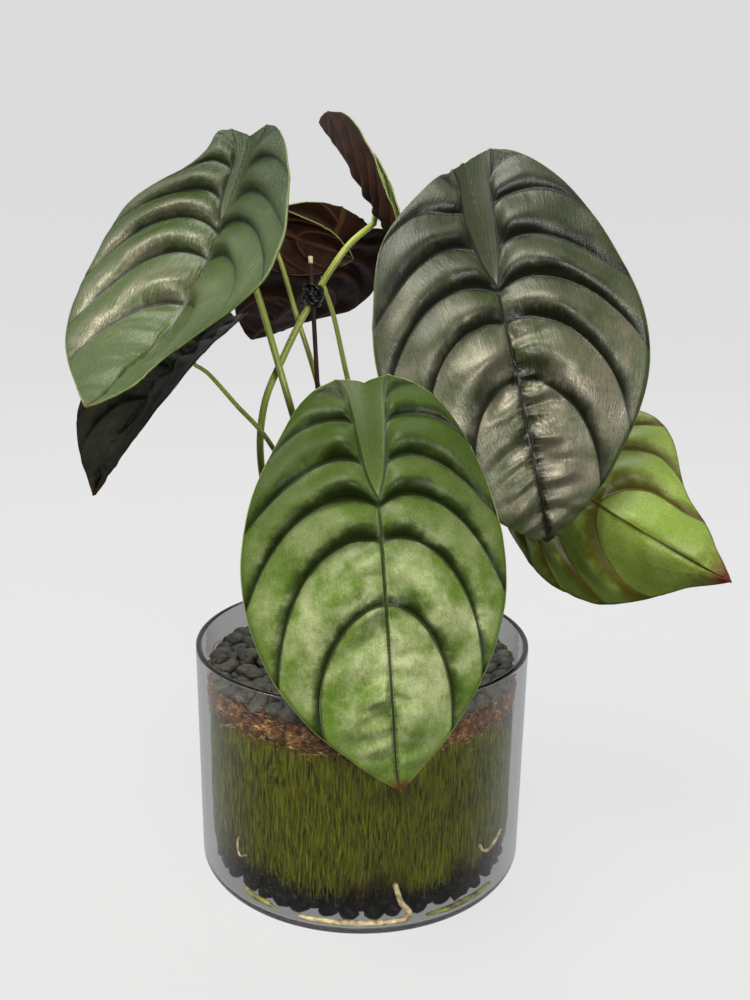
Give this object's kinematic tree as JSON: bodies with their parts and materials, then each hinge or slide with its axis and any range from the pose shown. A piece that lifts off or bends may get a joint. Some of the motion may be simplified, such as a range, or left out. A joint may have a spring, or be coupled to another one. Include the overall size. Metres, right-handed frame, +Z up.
{
  "type": "jewel alocasia in glass vase",
  "caption": "Potted jewel alocasia: quilted shield leaves on slim stems, rooted in moss, coir and black pebbles inside a clear glass cylinder vase.",
  "frame": {"origin": "bottom centre of the glass vase", "axes": "+Z up along the vase's centre line, -Y towards the front leaf and the camera, +X to the camera's right"},
  "size_m": [0.3637, 0.2623, 0.446],
  "materials": {
    "clear_glass": "clear, polished, faint grey-green edge",
    "black_pebble": "dusty matte black river stone",
    "green_moss": "upright olive and bright green moss strands",
    "brown_coir": "loose brown coconut fibre",
    "dark_soil": "dark crumbly potting mix",
    "pale_root": "pale cream root skin",
    "lime_root": "yellow-green root skin",
    "green_stem": "smooth yellow-green leaf stem",
    "stick_wood": "dark red-brown twig bark, pale cut tip",
    "black_clip": "glossy black",
    "leaf_green": "satin quilted green blade, dark veins",
    "leaf_silver": "silvery green blade with a metallic sheen, near-black veins",
    "leaf_dark": "glossy green-black blade",
    "leaf_lime": "yellow-green blade with olive shading and a brown-red margin",
    "leaf_maroon": "dark maroon underside, green upper face"
  },
  "bodies": {
    "root": {"glass_vase": "clear_glass", "drainage_pebbles": "black_pebble", "soil_core": "dark_soil", "moss_sleeve": "green_moss", "coir_collar": "brown_coir", "top_pebbles": "black_pebble", "root_main": "pale_root", "root_fine_right": "pale_root", "root_fine_left": "pale_root", "root_right": "lime_root", "root_left": "lime_root", "support_stick": "stick_wood", "stem_clip": "black_clip", "leaf_front": "leaf_green", "leaf_right": "leaf_silver", "leaf_left": "leaf_silver", "leaf_left_low": "leaf_dark", "leaf_right_low": "leaf_lime", "leaf_back": "leaf_maroon", "leaf_back_small": "leaf_maroon", "leaf_top_rolled": "leaf_maroon", "stem_front": "green_stem", "stem_right": "green_stem", "stem_left": "green_stem", "stem_left_low": "green_stem", "stem_right_low": "green_stem", "stem_back": "green_stem", "stem_back_small": "green_stem", "stem_top_rolled": "green_stem"}
  },
  "joints": []
}
